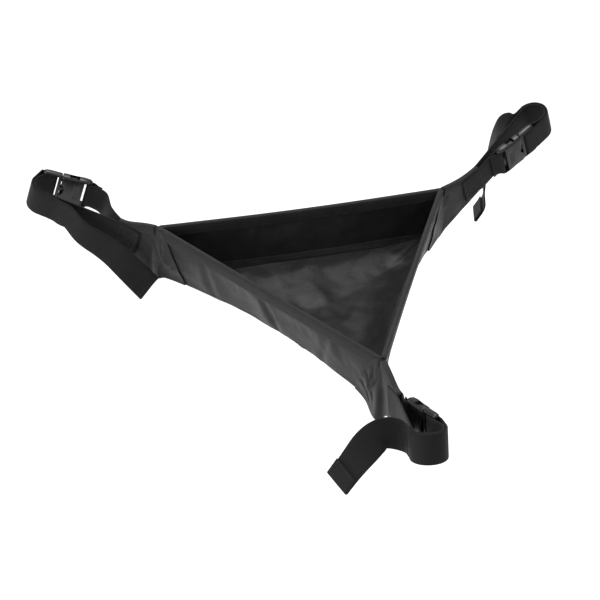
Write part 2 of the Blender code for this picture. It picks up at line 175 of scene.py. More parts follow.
def new_material(name, colour, roughness, specular, sheen=(0.0, 0.5)):
    """A Principled material. sheen is its weight and its roughness."""
    made = bpy.data.materials.new(name)
    made.use_nodes = True
    shader = made.node_tree.nodes["Principled BSDF"]
    shader.inputs["Base Color"].default_value = (*colour, 1)
    shader.inputs["Roughness"].default_value = roughness
    shader.inputs["Specular IOR Level"].default_value = specular
    shader.inputs["Sheen Weight"].default_value, shader.inputs["Sheen Roughness"].default_value = sheen
    return made, made.node_tree, shader


def add(tree, kind, settings=(), **inputs):
    """A node of this kind, with its settings, and values or links for its inputs by name or number."""
    made = tree.nodes.new(kind)
    for name, value in dict(settings).items():
        setattr(made, name, value)
    for key, value in inputs.items():
        socket = made.inputs[int(key[1:]) if key[0] == "_" else key]
        if isinstance(value, bpy.types.NodeSocket):
            tree.links.new(value, socket)
        else:
            socket.default_value = value
    return made


def maths(tree, operation, a, b=0.0, c=0.0):
    return add(tree, "ShaderNodeMath", {"operation": operation}, _0=a, _1=b, _2=c).outputs[0]


def surface_uv(tree):
    """The distance along and across a piece, in millimetres."""
    uv = add(tree, "ShaderNodeUVMap", {"uv_map": "UVMap"}).outputs[0]
    parts = add(tree, "ShaderNodeSeparateXYZ", Vector=uv)
    return [maths(tree, "MULTIPLY", parts.outputs[i], 1 / MM) for i in (0, 1)]


def wave(tree, along, pitch):
    return maths(tree, "SINE", maths(tree, "MULTIPLY", along, math.pi / pitch))


def threads(tree, along, pitch):
    """Rounded ridges from 0 to 1, one for each pitch."""
    return maths(tree, "ABSOLUTE", wave(tree, along, pitch))


def grain(tree, scale, detail, roughness=0.6, stretch=(1, 1, 1)):
    """Noise through the object's own space, from 0 to 1. scale is in features per metre."""
    where = add(tree, "ShaderNodeTexCoord").outputs["Object"]
    stretched = add(tree, "ShaderNodeVectorMath", {"operation": "MULTIPLY"}, _0=where, _1=stretch)
    made = add(tree, "ShaderNodeTexNoise", Vector=stretched.outputs[0], Scale=scale, Detail=detail,
               Roughness=roughness)
    return made.outputs["Fac"]


def shades(tree, factor, dark, light):
    """A colour from dark to light over the middle of a noise's range."""
    made = add(tree, "ShaderNodeValToRGB", Fac=factor)
    ramp = made.color_ramp.elements
    ramp[0].position, ramp[1].position = 0.3, 0.7
    ramp[0].color, ramp[1].color = (*dark, 1), (*light, 1)
    return made.outputs["Color"]


def remapped(tree, value, low, high):
    """The value's range from 0 to 1, taken to the range from low to high."""
    return add(tree, "ShaderNodeMapRange", Value=value, _3=low, _4=high).outputs[0]


def covered(tree, factor, ground, colour):
    """The ground, covered with the colour by this factor."""
    made = add(tree, "ShaderNodeMix", {"data_type": "RGBA"}, _0=factor, _6=ground, _7=(*colour, 1))
    return made.outputs[2]


def dress(tree, shader, colour, roughness, layers):
    """Links the shader's colour, roughness and bumps, each a height, a strength and a depth."""
    tree.links.new(colour, shader.inputs["Base Color"])
    if roughness:
        tree.links.new(roughness, shader.inputs["Roughness"])
    normal = None
    for height, strength, depth in layers:
        made = add(tree, "ShaderNodeBump", Height=height, Strength=strength, Distance=depth)
        if normal:
            tree.links.new(normal, made.inputs["Normal"])
        normal = made.outputs[0]
    if normal:
        tree.links.new(normal, shader.inputs["Normal"])


def cloth_material():
    """Plain-woven satin-faced nylon, faded a little where it is handled, with painted shade between its
    threads.
    """
    made, tree, shader = new_material("woven_nylon", grey(0.008, 0.0005), 0.46, 0.2, (0.05, 0.45))
    along, across = surface_uv(tree)
    pitch = 0.62
    warp, weft = threads(tree, along, pitch), threads(tree, across, pitch)
    crossing = maths(tree, "MULTIPLY", wave(tree, along, pitch), wave(tree, across, pitch))
    warp_over = maths(tree, "GREATER_THAN", crossing, 0.0)
    weave = add(tree, "ShaderNodeMix", _0=warp_over, _2=warp, _3=weft).outputs[0]
    fade, fuzz, crumple = grain(tree, 38, 3), grain(tree, 900, 2, 0.7), grain(tree, 90, 4)
    ground = shades(tree, fade, grey(0.004, 0.0005), grey(0.009, 0.0005))
    flecked = covered(tree, remapped(tree, fuzz, 0.0, 0.3), ground, grey(0.022, 0.001))
    # Painted shade: darker where the weave is low, between the threads.
    weave_shaded = covered(tree, remapped(tree, weave, 0.16, 0.0), flecked, grey(0.003, 0.0005))
    dress(tree, shader, weave_shaded, remapped(tree, fade, 0.36, 0.52),
          [(crumple, 0.5, 0.9 * MM), (fuzz, 0.25, 0.2 * MM), (weave, 0.22, 0.12 * MM)])
    return made


def tape_material():
    """Ribbed binding tape: ribs across it, a finer weave along them, worn in places, and painted shade
    in the grooves between the ribs.
    """
    made, tree, shader = new_material("ribbed_tape", grey(0.013, 0.001), 0.6, 0.2, (0.06, 0.5))
    along, across = surface_uv(tree)
    rib, fine = threads(tree, along, 0.9), threads(tree, across, 0.45)
    wear = grain(tree, 120, 4)
    ground = shades(tree, wear, grey(0.010, 0.0005), grey(0.018, 0.001))
    # Painted shade: darker in the grooves between the ribs.
    rib_shaded = covered(tree, remapped(tree, rib, 0.55, 0.0), ground, grey(0.004))
    dress(tree, shader, rib_shaded, remapped(tree, wear, 0.58, 0.76),
          [(wear, 0.3, 0.4 * MM), (rib, 0.7, 0.3 * MM), (fine, 0.3, 0.1 * MM)])
    return made


def webbing_material():
    """Woven webbing: cords along it that cross in a herringbone, with a little fuzz and painted shade in
    the hollows of the weave.
    """
    made, tree, shader = new_material("woven_webbing", grey(0.006, 0.0003), 0.6, 0.13, (0.04, 0.5))
    along, across = surface_uv(tree)
    cord, pick = 1.25, 0.8
    cords = threads(tree, across, cord)
    row = maths(tree, "FLOOR", maths(tree, "DIVIDE", across, cord))
    flip = maths(tree, "SUBTRACT", maths(tree, "MULTIPLY", maths(tree, "PINGPONG", row, 1.0), 2.0), 1.0)
    slant = maths(tree, "MULTIPLY_ADD", maths(tree, "MULTIPLY", across, flip), 0.8, along)
    picks = maths(tree, "POWER", threads(tree, slant, pick), 0.5)
    weave = maths(tree, "MULTIPLY", maths(tree, "POWER", cords, 0.6), picks)
    fade, fuzz = grain(tree, 60, 3), grain(tree, 1100, 2, 0.7)
    ground = shades(tree, fade, grey(0.004, 0.0003), grey(0.008, 0.0003))
    flecked = covered(tree, remapped(tree, fuzz, 0.0, 0.3), ground, grey(0.014))
    # Painted shade: darker where the weave is low, in its hollows.
    woven = covered(tree, remapped(tree, weave, 0.4, 0.0), flecked, grey(0.0025))
    dress(tree, shader, woven, remapped(tree, fade, 0.55, 0.72),
          [(fade, 0.2, 0.6 * MM), (weave, 0.55, 0.3 * MM), (fuzz, 0.2, 0.1 * MM)])
    return made


def plastic_material():
    """Moulded acetal: satin, faintly grained, rubbed smooth and pale in spots."""
    made, tree, shader = new_material("moulded_acetal", grey(0.007, 0.0005), 0.34, 0.4)
    wear, moulded = grain(tree, 160, 5), grain(tree, 2600, 2, 0.5)
    scuffs = grain(tree, 420, 3, 0.5, (1, 1, 0.15))
    ground = shades(tree, wear, grey(0.004, 0.0005), grey(0.008, 0.0005))
    scuffed = covered(tree, remapped(tree, scuffs, -0.35, 0.3), ground, grey(0.022, 0.001))
    dress(tree, shader, scuffed, remapped(tree, wear, 0.26, 0.46),
          [(wear, 0.15, 0.3 * MM), (moulded, 0.18, 0.08 * MM)])
    return made


def thread_material():
    """Twisted sewing thread, with painted shade in the grooves between its plies and a painted highlight
    on their crowns.
    """
    made, tree, shader = new_material("sewing_thread", grey(0.018, 0.001), 0.5, 0.3, (0.05, 0.5))
    along, across = surface_uv(tree)
    ply = threads(tree, maths(tree, "MULTIPLY_ADD", across, 1.2, along), 0.35)
    # Painted shade in the grooves between the plies, and a painted highlight on their crowns.
    ply_shade_and_highlight = covered(tree, ply, (*grey(0.006, 0.0005), 1), grey(0.026, 0.001))
    dress(tree, shader, ply_shade_and_highlight, None, [(ply, 0.8, 0.1 * MM)])
    return made


def floor_material():
    made, tree, shader = new_material("pale_floor", grey(0.9), 0.8, 0.2)
    dress(tree, shader, shades(tree, grain(tree, 6, 3), grey(0.89), grey(0.91)), None, [])
    return made


LOOKS = {
    "bag_cloth": cloth_material(),
    "binding_tape": tape_material(),
    "webbing": webbing_material(),
    "buckle_plastic": plastic_material(),
    "thread": thread_material(),
}


# ---- making meshes


def linked(name, data):
    """A new object in the scene, with this mesh, light or camera."""
    made = bpy.data.objects.new(name, data)
    bpy.context.scene.collection.objects.link(made)
    return made


def new_piece(name, vertices, faces, look, uvs):
    """A smooth mesh object. uvs gives a pair in metres for each corner of each face."""
    mesh = bpy.data.meshes.new(name)
    mesh.from_pydata([tuple(v) for v in vertices], [], faces)
    mesh.uv_layers.new(name="UVMap").data.foreach_set("uv", np.array(uvs, np.float32).ravel())
    mesh.materials.append(LOOKS[look])
    mesh.shade_smooth()
    return linked(name, mesh)


def attach(piece, body, slot, *stands_for):
    """The piece rides on a body and stands for these CAD nodes. slot is not used."""
    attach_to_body(piece, body)
    if stands_for:
        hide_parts(*stands_for)
    return piece


def settle(piece):
    """Applies a piece's modifiers, so that its mesh is final."""
    graph = bpy.context.evaluated_depsgraph_get()
    final = bpy.data.meshes.new_from_object(piece.evaluated_get(graph))
    piece.modifiers.clear()
    old, piece.data = piece.data, final
    bpy.data.meshes.remove(old)
    return piece


def subdivided(piece):
    finer = piece.modifiers.new("finer", "SUBSURF")
    finer.levels = finer.render_levels = 1
    finer.uv_smooth = "PRESERVE_BOUNDARIES"
    return piece


def thickened(piece, thick, offset=0.0):
    """Gives an open sheet its thickness, to both sides of it unless there is an offset."""
    shell = piece.modifiers.new("thickness", "SOLIDIFY")
    shell.thickness = thick
    shell.offset = offset
    return piece


def faced_out(piece):
    """Turns the faces of a closed piece outwards."""
    bm = bmesh.new()
    bm.from_mesh(piece.data)
    bmesh.ops.recalc_face_normals(bm, faces=bm.faces)
    bm.to_mesh(piece.data)
    bm.free()
    return piece


def run_along(points):
    """How far along the line each of its points is."""
    run = [0.0]
    for a, b in zip(points, points[1:]):
        run.append(run[-1] + (b - a).length)
    return run


def sheet_mesh(name, rows, look):
    """An open sheet through a grid of points."""
    width = len(rows[0])
    down = run_along([row[0] for row in rows])
    grid_uvs = [[(u, v) for u in run_along(row)] for row, v in zip(rows, down)]
    faces, uvs = [], []
    for r in range(len(rows) - 1):
        for c in range(width - 1):
            ring = ((r, c), (r, c + 1), (r + 1, c + 1), (r + 1, c))
            faces.append([i * width + j for i, j in ring])
            uvs += [grid_uvs[i][j] for i, j in ring]
    return new_piece(name, [point for row in rows for point in row], faces, look, uvs)


def sweep(name, stations, profile, look):
    """A closed solid with this profile, a ring of pairs, at each station: a point and the two
    directions that the pairs are along. Its UVs run along it and round the profile."""
    ring = len(profile)
    vertices = [point + a * first + b * second for point, first, second in stations for a, b in profile]
    run = run_along([station[0] for station in stations])
    around = [pair[0] for pair in profile]
    faces, uvs = [], []
    for s in range(len(stations) - 1):
        for i in range(ring):
            j = (i + 1) % ring
            faces.append([s * ring + i, s * ring + j, (s + 1) * ring + j, (s + 1) * ring + i])
            uvs += [(run[s], around[i]), (run[s], around[j])]
            uvs += [(run[s + 1], around[j]), (run[s + 1], around[i])]
    faces.append(list(range(ring))[::-1])
    faces.append([(len(stations) - 1) * ring + i for i in range(ring)])
    uvs += [(run[0], around[i]) for i in range(ring)][::-1]
    uvs += [(run[-1], around[i]) for i in range(ring)]
    return faced_out(new_piece(name, vertices, faces, look, uvs))


def smooth_through(points, steps):
    """Points on a Catmull-Rom curve through the given ones, with this many steps between each pair."""
    ends = [2 * points[0] - points[1], *points, 2 * points[-1] - points[-2]]
    curve = []
    for a, b, c, d in zip(ends, ends[1:], ends[2:], ends[3:]):
        for step in range(steps):
            t = step / steps
            curve.append(
                0.5 * (2 * b + (c - a) * t + (2 * a - 5 * b + 4 * c - d) * t**2
                       + (3 * b - a - 3 * c + d) * t**3)
            )
    return [*curve, points[-1]]


def even(points, count):
    """The same line as this many points, evenly spaced."""
    run = run_along(points)
    wanted = np.linspace(0, run[-1], count)
    table = np.array([list(p) for p in points])
    return [Vector(p) for p in zip(*(np.interp(wanted, run, column) for column in table.T))]


def resampled(points, spacing):
    """The same line with its points about this far apart, its ends kept."""
    return even(points, max(2, round(run_along(points)[-1] / spacing)) + 1)


def eased(points, rounds):
    """The line with its kinks rounded off. Its two ends on each side stay."""
    points = list(points)
    for _ in range(rounds):
        inner = [(a + 2 * b + c) / 4 for a, b, c in zip(points[1:], points[2:-2], points[3:])]
        points = [*points[:2], *inner, *points[-2:]]
    return points


def half_turn(centre, start, middle, steps):
    """Points on half a circle, from centre + start through centre + middle to centre - start."""
    turns = [math.pi * step / steps for step in range(steps + 1)]
    return [centre + math.cos(t) * start + math.sin(t) * middle for t in turns]


def flat_profile(width, thick):
    """A strap's cross-section, with rounded selvedges and a slightly crowned face."""
    half, edge = width / 2, thick / 2
    across = (-1, -0.75, -0.4, 0, 0.4, 0.75, 1)
    crown = 0.08
    face = [((half - edge) * a, edge * (1 + crown * (1 - a * a))) for a in across]
    selvedge = [(half - edge * 0.3, edge * 0.7), (half, 0.0), (half - edge * 0.3, -edge * 0.7)]
    return [*face, *selvedge, *[(-a, -b) for a, b in face], *[(-a, -b) for a, b in selvedge]]


def folded_profile(half, top, low, shoulder):
    """The outside of a tape folded over an edge: half its thickness, its height over the edge, the
    level of its selvedges and the level where it starts to round over."""
    side = [(half - 0.3 * MM, low), (half, low + 0.4 * MM), (half, shoulder)]
    round_over = [(half * math.cos(t), top * math.sin(t)) for t in np.linspace(0, math.pi, 9)]
    return [*side, *round_over, *[(-a, b) for a, b in reversed(side)]]


def both_faces(stations, stand, level):
    """A row of places on each face of a folded tape, with their normals."""
    return [[(point + first * face * stand + second * level, first * face)
             for point, first, second in stations] for face in (1, -1)]


# ---- stitches

STITCH_SPACING = 2.7 * MM
STITCH_LENGTH = 1.9 * MM
STITCH_THICK = 0.5 * MM
STITCH_FLATNESS = 0.6
STITCH_RING = 6
# The sections of a stitch: where each is along it, and its thickness as a share of the full one
STITCH_SECTIONS = ((-0.5, 0.15), (-0.38, 0.8), (0, 1), (0.38, 0.8), (0.5, 0.15))


def stitch_points(near, far):
    """The rings of a stitch between two places, each a point and its normal as six numbers."""
    along = Vector(far[:3] - near[:3])
    normal = Vector(near[3:] + far[3:]).normalized()
    side = along.normalized().cross(normal)
    centre = Vector((near[:3] + far[:3]) / 2)
    points = []
    for share, swell in STITCH_SECTIONS:
        dip = normal * STITCH_THICK * 0.5 * (1 - swell)
        for i in range(STITCH_RING):
            turn = 2 * math.pi * i / STITCH_RING
            radial = math.cos(turn) * side + STITCH_FLATNESS * math.sin(turn) * normal
            points.append(centre + along * share + radial * swell * STITCH_THICK / 2 - dip)
    return points


def stitch_faces(first):
    """The faces of the stitch whose points start at this number, and their UVs."""
    faces, uvs = [], []
    for s in range(len(STITCH_SECTIONS) - 1):
        a, b = first + s * STITCH_RING, first + (s + 1) * STITCH_RING
        u, v = (STITCH_SECTIONS[n][0] * STITCH_LENGTH for n in (s, s + 1))
        for i in range(STITCH_RING):
            j = (i + 1) % STITCH_RING
            w, x = i * STITCH_THICK / 2, (i + 1) * STITCH_THICK / 2
            faces.append([a + i, b + i, b + j, a + j])
            uvs += [(u, w), (v, w), (v, x), (u, x)]
    for start in (first, first + (len(STITCH_SECTIONS) - 1) * STITCH_RING):
        faces.append([start + i for i in range(STITCH_RING)])
        uvs += [(0, 0)] * STITCH_RING
    return faces, uvs


def stitched(name, runs):
    """Rows of stitches. Each run is a list of pairs: a point on a surface and its normal there."""
    vertices, faces, uvs = [], [], []
    for run in runs:
        reach = run_along([point for point, _ in run])
        table = np.array([[*point, *normal] for point, normal in run])
        count = int(reach[-1] / STITCH_SPACING)
        for k in range(count):
            middle = (k + 0.5) * reach[-1] / count
            near, far = (np.array([np.interp(middle + shift, reach, column) for column in table.T])
                         for shift in (-STITCH_LENGTH / 2, STITCH_LENGTH / 2))
            more_faces, more_uvs = stitch_faces(len(vertices))
            vertices += stitch_points(near, far)
            faces += more_faces
            uvs += more_uvs
    return faced_out(new_piece(name, vertices, faces, "thread", uvs))


# ---- the bag's shell

WALL_SEGMENTS = 72
HALF_WALL = WALL_SEGMENTS // 2
HEM_ROWS = 2  # rows of the grid that the rim's binding holds flat
FREE_ROWS = 9
RIM_SAG = 1.6 * MM
RIM_BOW = 1.0 * MM
TUCK = 8 * MM  # how far the foot of each wall is drawn in at its middle
TUCK_REACH = 45 * MM  # how far in from a wall the floor follows it
DISH = 7 * MM  # how far the floor sags
FOOT_LIFT = 3 * MM
FULLNESS = 0.012  # how much too large the cloth is cut
HANG_FRAMES = 36
HANG_CAP = 7 * MM  # what the simulation's steps tend to at most
# Creases down the walls: the wall's number, how far along it each is at the rim and at the foot,
# and its depth
WALL_FOLDS = (
    (0, 0.476, 0.530, 4.2 * MM),
    (0, 0.22, 0.25, 1.8 * MM),
    (0, 0.78, 0.72, 3.0 * MM),
    (1, 0.40, 0.46, 1.7 * MM),
    (1, 0.74, 0.70, 1.2 * MM),
    (2, 0.34, 0.29, 1.7 * MM),
    (2, 0.66, 0.71, 1.4 * MM),
)
FOLD_SWELL = 15 * MM  # half the width of the swelling on both sides of a crease
FOLD_CREASE = 3.2 * MM
SEAM_TURNS = [math.radians(CORNERS[name]["azimuth"]) for name in NAMES]
SEAMS = [CORNER_RADIUS * Vector((math.cos(t), math.sin(t), 0)) for t in SEAM_TURNS]
SIDE_LENGTH = (SEAMS[1] - SEAMS[0]).length
IN_RADIUS = CORNER_RADIUS / 2
FOOT_HEIGHT = RIM_HEIGHT - WALL_HEIGHT


def wall_normal(k):
    """Out of wall k, level."""
    return (SEAMS[k] + SEAMS[(k + 1) % 3]).normalized()


def wall_share(k, point):
    """How far along wall k a point is, from 0 to 1."""
    side = SEAMS[(k + 1) % 3] - SEAMS[k]
    return (point - SEAMS[k]).dot(side.normalized()) / side.length


def from_nearest_wall(point):
    return min(IN_RADIUS - point.dot(wall_normal(k)) for k in range(3))


def hung(point):
    """Where a point of the flat-sided bag hangs: the rim sags a little, the walls' feet are drawn
    in and lifted between the corners, and the floor dishes."""
    moved = point.copy()
    height = (point.z - FOOT_HEIGHT) / WALL_HEIGHT
    low = (1 - height) ** 1.3
    for k in range(3):
        out = wall_normal(k)
        bulge = math.sin(math.pi * clamp(wall_share(k, point)))
        near = max(0.0, 1 - (IN_RADIUS - point.dot(out)) / TUCK_REACH) ** 2
        moved -= out * (RIM_BOW * height + TUCK * low) * bulge * near
        moved += UP * (FOOT_LIFT * low - RIM_SAG * height**2) * bulge * near
    if height < 0.001:
        inside = clamp(from_nearest_wall(point) / IN_RADIUS)
        moved -= UP * DISH * math.sin(math.pi / 2 * inside) ** 1.2
    return moved


class Grid:
    """Vertices that are shared where their flat places meet."""

    def __init__(self):
        self.flat, self.index, self.faces, self.uvs = [], {}, [], []

    def vertex(self, point):
        key = tuple(round(c / (0.01 * MM)) for c in point)
        if key not in self.index:
            self.index[key] = len(self.flat)
            self.flat.append(point)
        return self.index[key]

    def patch(self, rows, uv_of):
        """Adds a grid of points, given row by row, as quads."""
        ids = [[self.vertex(point) for point in row] for row in rows]
        for r in range(len(rows) - 1):
            for c in range(len(rows[0]) - 1):
                ring = ((r, c), (r + 1, c), (r + 1, c + 1), (r, c + 1))
                self.faces.append([ids[i][j] for i, j in ring])
                self.uvs += [uv_of(rows[i][j]) for i, j in ring]
        return ids


def wall_drops():
    """How far below the rim each row of a wall is."""
    hem = [BINDING_DROP * i / HEM_ROWS for i in range(HEM_ROWS + 1)]
    free = [BINDING_DROP + (WALL_HEIGHT - BINDING_DROP) * (i + 1) / FREE_ROWS for i in range(FREE_ROWS)]
    return hem + free


def build_grid():
    """The flat-sided bag: its three walls, and its floor in three parts, one at each corner."""
    grid = Grid()
    walls, floors = [], []
    foot = UP * FOOT_HEIGHT
    for k in range(3):
        a, b = SEAMS[k], SEAMS[(k + 1) % 3]
        along = (b - a).normalized()
        rim = [a.lerp(b, i / WALL_SEGMENTS) for i in range(WALL_SEGMENTS + 1)]
        rows = [[point + UP * (RIM_HEIGHT - drop) for point in rim] for drop in wall_drops()]
        walls.append(grid.patch(rows, lambda p, a=a, along=along: ((p - a).dot(along), p.z)))
    for k in range(3):
        corner = SEAMS[k] + foot
        after, before = ((SEAMS[k] + SEAMS[(k + n) % 3]) / 2 + foot for n in (1, 2))
        rows = []
        for i in range(HALF_WALL + 1):
            left, right = corner.lerp(before, i / HALF_WALL), after.lerp(foot, i / HALF_WALL)
            rows.append([left.lerp(right, j / HALF_WALL) for j in range(HALF_WALL + 1)])
        floors.append(grid.patch(rows, lambda p: (p.x, p.y)))
    return grid, walls, floors


def drape(cloth, pins):
    """Hangs the cloth from its rim and its corner seams. It is cut a little full, so it ruckles."""
    cloth.vertex_groups.new(name="held").add(sorted(pins), 1.0, "REPLACE")
    hang = cloth.modifiers.new("hang", "CLOTH")
    settings = hang.settings
    settings.quality = 8
    settings.mass = 0.002
    settings.tension_stiffness = settings.compression_stiffness = 12
    settings.shear_stiffness = 4
    settings.bending_stiffness = 0.02
    settings.tension_damping = settings.compression_damping = settings.shear_damping = 6
    settings.bending_damping = 0.6
    settings.vertex_group_mass = "held"
    settings.pin_stiffness = 1
    settings.shrink_min = -FULLNESS
    hang.collision_settings.use_collision = False
    hang.point_cache.frame_start, hang.point_cache.frame_end = 1, HANG_FRAMES
    for number in range(1, HANG_FRAMES + 1):
        bpy.context.scene.frame_set(number)
    settle(cloth)
    bpy.context.scene.frame_set(1)


def ripple(point, scale, shift=(0, 0, 0)):
    """Smooth noise over the cloth, about -1 to 1. scale is in features per metre along x, y and z."""
    return noise.noise(Vector([p * s + d for p, s, d in zip(point, scale, shift)]))


def floor_ruckle(flat, point, upright, creases):
    """Soft waves and ridges over the floor, which fade into the walls' feet."""
    swell = min(1, from_nearest_wall(flat) / (18 * MM))
    waves = ripple(point, (22, 22, 0), (3, 0, 5))
    ridges = 0.35 - abs(ripple(point, (34, 20, 0), (9, 0, 2)))
    soft = 3.2 * MM * waves + 3.0 * MM * ridges + 0.5 * MM * creases
    return -soft * swell + 0.8 * MM * upright * (1 - swell)


def ruckle(flat, point):
    """How far cloth stands off, at a place of the flat-sided bag and where that place hangs."""
    height = (flat.z - FOOT_HEIGHT) / WALL_HEIGHT
    low = 1 - height
    upright = ripple(point, (46, 46, 9))
    creases = ripple(point, (90, 90, 90), (7, 0, 0))
    if height < 0.001:
        return floor_ruckle(flat, point, upright, creases)
    stand = 1.3 * MM * upright * math.sin(math.pi * (0.15 + 0.75 * low)) + 0.4 * MM * creases
    for k, at_rim, at_foot, depth in WALL_FOLDS:
        if abs(flat.dot(wall_normal(k)) - IN_RADIUS) > 0.1 * MM:
            continue
        off = (wall_share(k, flat) - at_rim - (at_foot - at_rim) * low) * SIDE_LENGTH
        swell = 0.7 * math.exp(-((off / FOLD_SWELL) ** 2))
        crease = math.exp(-((off / FOLD_CREASE) ** 2))
        stand += depth * math.sin(0.85 * math.pi * low) * (swell - crease)
    return stand


def facing(normal, point):
    """1 if a normal at this point is out of the bag, or else -1."""
    return 1 if normal.dot(point - UP * RIM_HEIGHT) > 0 else -1


def held_places(walls):
    """The vertices under the rim's binding and on the corner seams."""
    pins = {index for wall in walls for row in wall[: HEM_ROWS + 1] for index in row}
    return pins | {row[end] for wall in walls for row in wall for end in (0, -1)}


def build_bag():
    """The tray's shell, and the places that its seams follow."""
    grid, walls, floors = build_grid()
    start = [hung(point) for point in grid.flat]
    shell = new_piece("bag_shell", start, grid.faces, "bag_cloth", grid.uvs)
    pins = held_places(walls)
    drape(shell, pins)
    for vertex, before in zip(shell.data.vertices, start):
        step = vertex.co - before
        vertex.co = before + step / (1 + step.length / HANG_CAP)
    shell.data.update()
    normals = [vertex.normal.copy() for vertex in shell.data.vertices]
    for index, vertex in enumerate(shell.data.vertices):
        if index not in pins:
            out = normals[index] * facing(normals[index], vertex.co)
            vertex.co += out * ruckle(grid.flat[index], vertex.co)
    shell.data.update()
    places = [vertex.co.copy() for vertex in shell.data.vertices]
    normals = [vertex.normal.copy() for vertex in shell.data.vertices]
    mid_wall = walls[0][5][HALF_WALL]
    inwards = 1.0 if normals[mid_wall].dot(wall_normal(0)) < 0 else -1.0
    settle(thickened(subdivided(shell), CLOTH, inwards))
    shell.data.shade_smooth()
    return shell, walls, floors, places, normals


shell, WALL_IDS, FLOOR_IDS, PLACES, NORMALS = build_bag()
attach(shell, "bag", "bag_cloth", "base_panel", *[f"wall_{w}" for w in WALLS])


def outward(index):
    """The shell's normal out of the bag."""
    return NORMALS[index] * facing(NORMALS[index], PLACES[index])


def build_binding(k):
    """Ribbed tape folded over the rim of wall k, and its stitching."""
    out = wall_normal(k)
    stations = []
    for top, low in list(zip(WALL_IDS[k][0], WALL_IDS[k][HEM_ROWS]))[1:-1]:
        stations.append((PLACES[top] - out * CLOTH / 2, out, (PLACES[top] - PLACES[low]).normalized()))
    half, low = CLOTH / 2 + BINDING, -BINDING_DROP
    inner, inset = CLOTH / 2 + 0.1 * MM, 0.2 * MM
    channel = [(-inner, low + inset), (-inner, -inset), (inner, -inset), (inner, low + inset)]
    profile = [*folded_profile(half, BINDING, low, -4 * MM), *channel]
    tape = sweep(f"rim_tape_{WALLS[k]}", stations, profile, "binding_tape")
    attach(tape, "bag", "binding_tape", f"rim_binding_{WALLS[k]}")
    sewn = stitched(f"rim_stitches_{WALLS[k]}", both_faces(stations, half + 0.05 * MM, low + 2.2 * MM))
    return [tape, attach(sewn, "bag", "binding_tape")]


def floor_neighbour(k, c, rows_in):
    """The vertex rows_in rows into the floor from column c of wall k's foot."""
    if c <= HALF_WALL:
        return FLOOR_IDS[k][rows_in][c]
    return FLOOR_IDS[(k + 1) % 3][WALL_SEGMENTS - c][rows_in]


def build_seam_tape(k):
    """Tape over the seam between wall k and the floor, inside the tray."""
    stand_off = CLOTH + 0.35 * MM
    columns = []
    for c in range(2, WALL_SEGMENTS - 1):
        ids = [WALL_IDS[k][row][c] for row in (-3, -2, -1)] + [floor_neighbour(k, c, n) for n in (1, 2)]
        # The middle place is in the bend, so it stands off further.
        offs = (1, 1, 1.35, 1, 1)
        line = [PLACES[i] - outward(i) * stand_off * off for i, off in zip(ids, offs)]
        columns.append(smooth_through(line, 2)[1:-1])
    tape = sheet_mesh(f"foot_tape_{WALLS[k]}", [list(row) for row in zip(*columns)], "binding_tape")
    settle(subdivided(thickened(tape, 0.8 * MM)))
    return attach(tape, "bag", "binding_tape", f"seam_tape_{WALLS[k]}")


def build_foot_stitches(k):
    """The row of stitches along wall k, just above its foot, outside."""
    run = []
    for c in range(3, WALL_SEGMENTS - 2):
        low, above = WALL_IDS[k][-1][c], WALL_IDS[k][-2][c]
        out = (outward(low) * 0.4 + outward(above) * 0.6).normalized()
        run.append((PLACES[low].lerp(PLACES[above], 0.6) + out * 0.15 * MM, out))
    return attach(stitched(f"foot_stitches_{WALLS[k]}", [run]), "bag", "bag_cloth")


bag_trims = []
for wall_number in range(3):
    bag_trims += build_binding(wall_number)
    bag_trims += [build_seam_tape(wall_number), build_foot_stitches(wall_number)]


# ---- one corner


def in_plane(pair):
    """A point from x and y in millimetres."""
    return Vector((*pair, 0)) * MM


def heading(start, end):
    return math.atan2(end.y - start.y, end.x - start.x)


def bezier(a, b, c, d, t):
    return (1 - t) ** 3 * a + 3 * (1 - t) ** 2 * t * b + 3 * (1 - t) * t * t * c + t**3 * d


class Corner:
    """Where one corner's arm, webbing and buckle are."""

    def __init__(self, number):
        self.number = number
        self.name = NAMES[number]
        self.facts = CORNERS[self.name]
        self.side = self.facts["side"]
        self.tip = self.facts["arm_tip"] * MM
        seam = SEAMS[number]
        radius, degrees = self.facts["leg"]
        turn = math.radians(degrees)
        leg = radius * MM * Vector((math.cos(turn), math.sin(turn), 0))
        self.frame = Matrix.Translation(seam) @ Matrix.Rotation(heading(seam, leg), 4, "Z")
        middle = Matrix.Translation(UP * (RIM_HEIGHT - WALL_HEIGHT / 2 + self.facts["lift"] * MM))
        self.plan = self.frame @ middle @ Matrix.Rotation(-math.radians(self.facts["rise"]), 4, "Y")
        start, end = (in_plane(pair) for pair in self.facts["buckle"])
        self.in_plan = Matrix.Translation(start) @ Matrix.Rotation(heading(start, end), 4, "Z")
        self.across = self.plan.to_3x3() @ UP

    def bend(self, piece, slot):
        """Bakes the piece's transform into its mesh."""
        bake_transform(piece)

    def to_frame(self, point):
        return self.frame.inverted() @ self.plan @ point

    def top_edge(self, share):
        """The arm's upper edge, from the seam to the tip."""
        rim = UP * RIM_HEIGHT
        tip = self.to_frame(Vector((self.tip, 0, ARM_TIP_HEIGHT / 2)))
        level = Vector((0.45 * self.tip, 0, 0))
        rising = self.frame.to_3x3().inverted() @ self.plan.to_3x3() @ -level
        return bezier(rim, rim + level, tip + rising * 0.6, tip, share)

    def bottom_edge(self, share):
        return (UP * FOOT_HEIGHT).lerp(self.to_frame(Vector((self.tip, 0, -ARM_TIP_HEIGHT / 2))), share)


